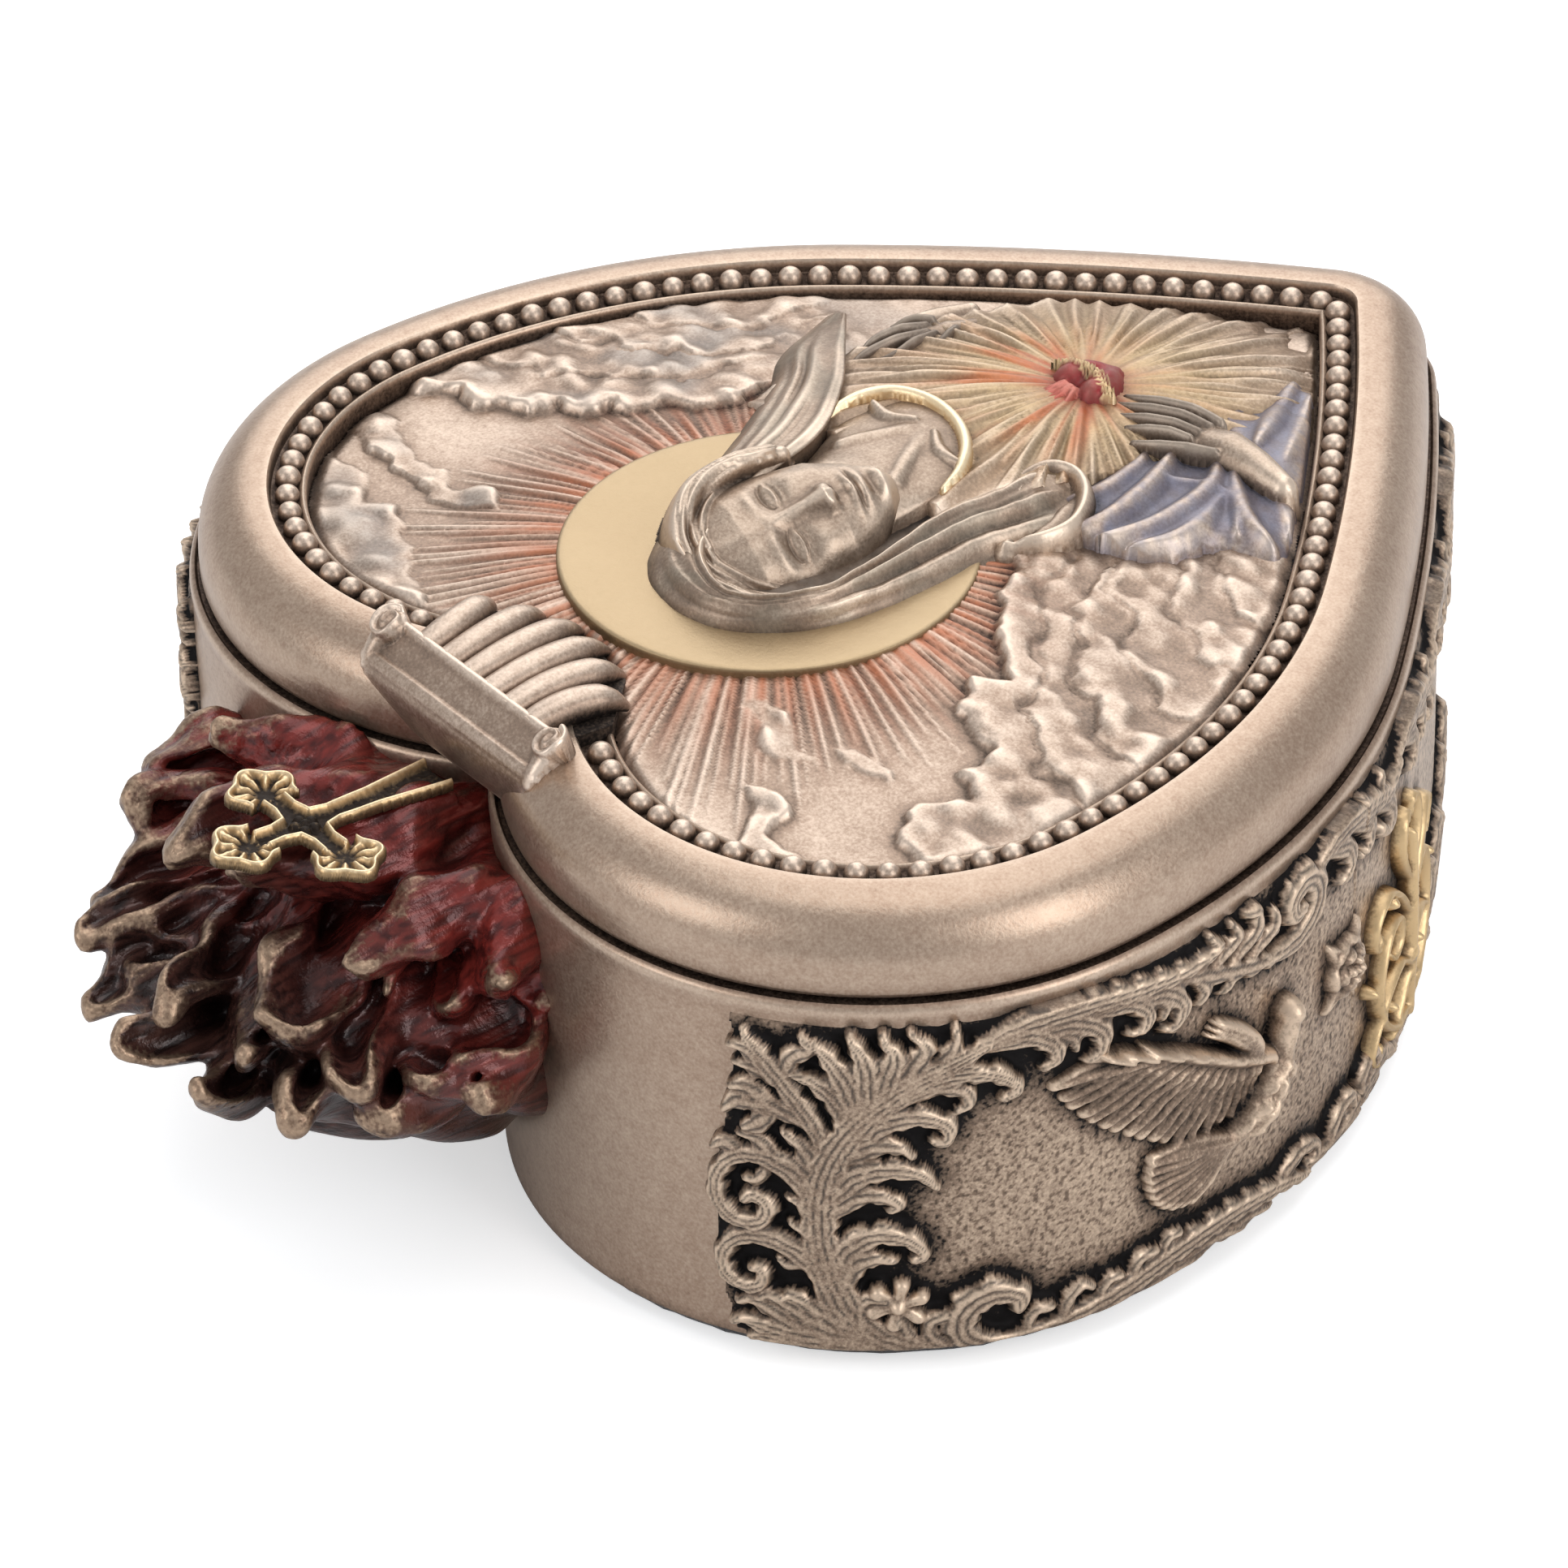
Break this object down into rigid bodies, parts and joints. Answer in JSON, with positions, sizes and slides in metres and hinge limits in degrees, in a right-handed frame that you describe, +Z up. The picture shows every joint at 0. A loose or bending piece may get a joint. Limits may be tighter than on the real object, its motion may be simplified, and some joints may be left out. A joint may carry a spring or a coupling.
{
  "type": "trinket box",
  "caption": "Heart-shaped bronze-finish trinket box: lift-off lid with pearl border and devotional relief, leafy side panels, flames and a small cross at the cleft.",
  "frame": {"origin": "on the table, under the felt, midway between the centres of the heart's two lobes", "axes": "+Z up; Y is the heart's axis, cleft and flames towards +Y, tip towards -Y; X across the lobes"},
  "size_m": [0.1058, 0.1304, 0.0483],
  "materials": {
    "bronze_satin": "cold-cast bronze resin, satin metallic, fine grain, dark patina in the grooves",
    "bronze_relief": "cold-cast bronze resin, dark patina in recesses, dry-brushed highlights",
    "bronze_figure": "cold-cast bronze resin, satin, dark patina in folds",
    "rayed_robe": "bronze with gold and orange washes over carved rays",
    "blue_mantle": "blue wash over bronze, dry-brushed",
    "red_heart": "red lacquer with gold band",
    "gold": "pale gold paint, satin metallic",
    "flame_red": "glossy dark red hollows, bronze dry-brushed rims",
    "felt": "black felt"
  },
  "bodies": {
    "base": {"base_shell": "bronze_satin", "felt_pad": "felt", "flame_cluster": "flame_red", "cross": "gold", "left_side_frame": "bronze_relief", "right_side_frame": "bronze_relief", "left_dove": "bronze_relief", "right_dove": "bronze_relief", "left_rose": "bronze_relief", "right_rose": "bronze_relief", "left_medallion": "gold", "right_medallion": "gold"},
    "lid": {"lid_shell": "bronze_satin", "sky_panel": "bronze_relief", "bead_ring": "bronze_satin", "halo_disc": "gold", "robe": "rayed_robe", "head": "bronze_figure", "veil": "bronze_figure", "mantle_sleeve": "blue_mantle", "left_hand": "bronze_figure", "right_hand": "bronze_figure", "neckline_trim": "gold", "radiant_heart": "red_heart", "pleated_fan": "bronze_satin", "scroll_bar": "bronze_satin"}
  },
  "joints": [
    {"name": "lid_lift", "type": "slide", "parent": "base", "child": "lid", "axis": [0, 0, 1], "range_m": [0, 0.06]}
  ]
}
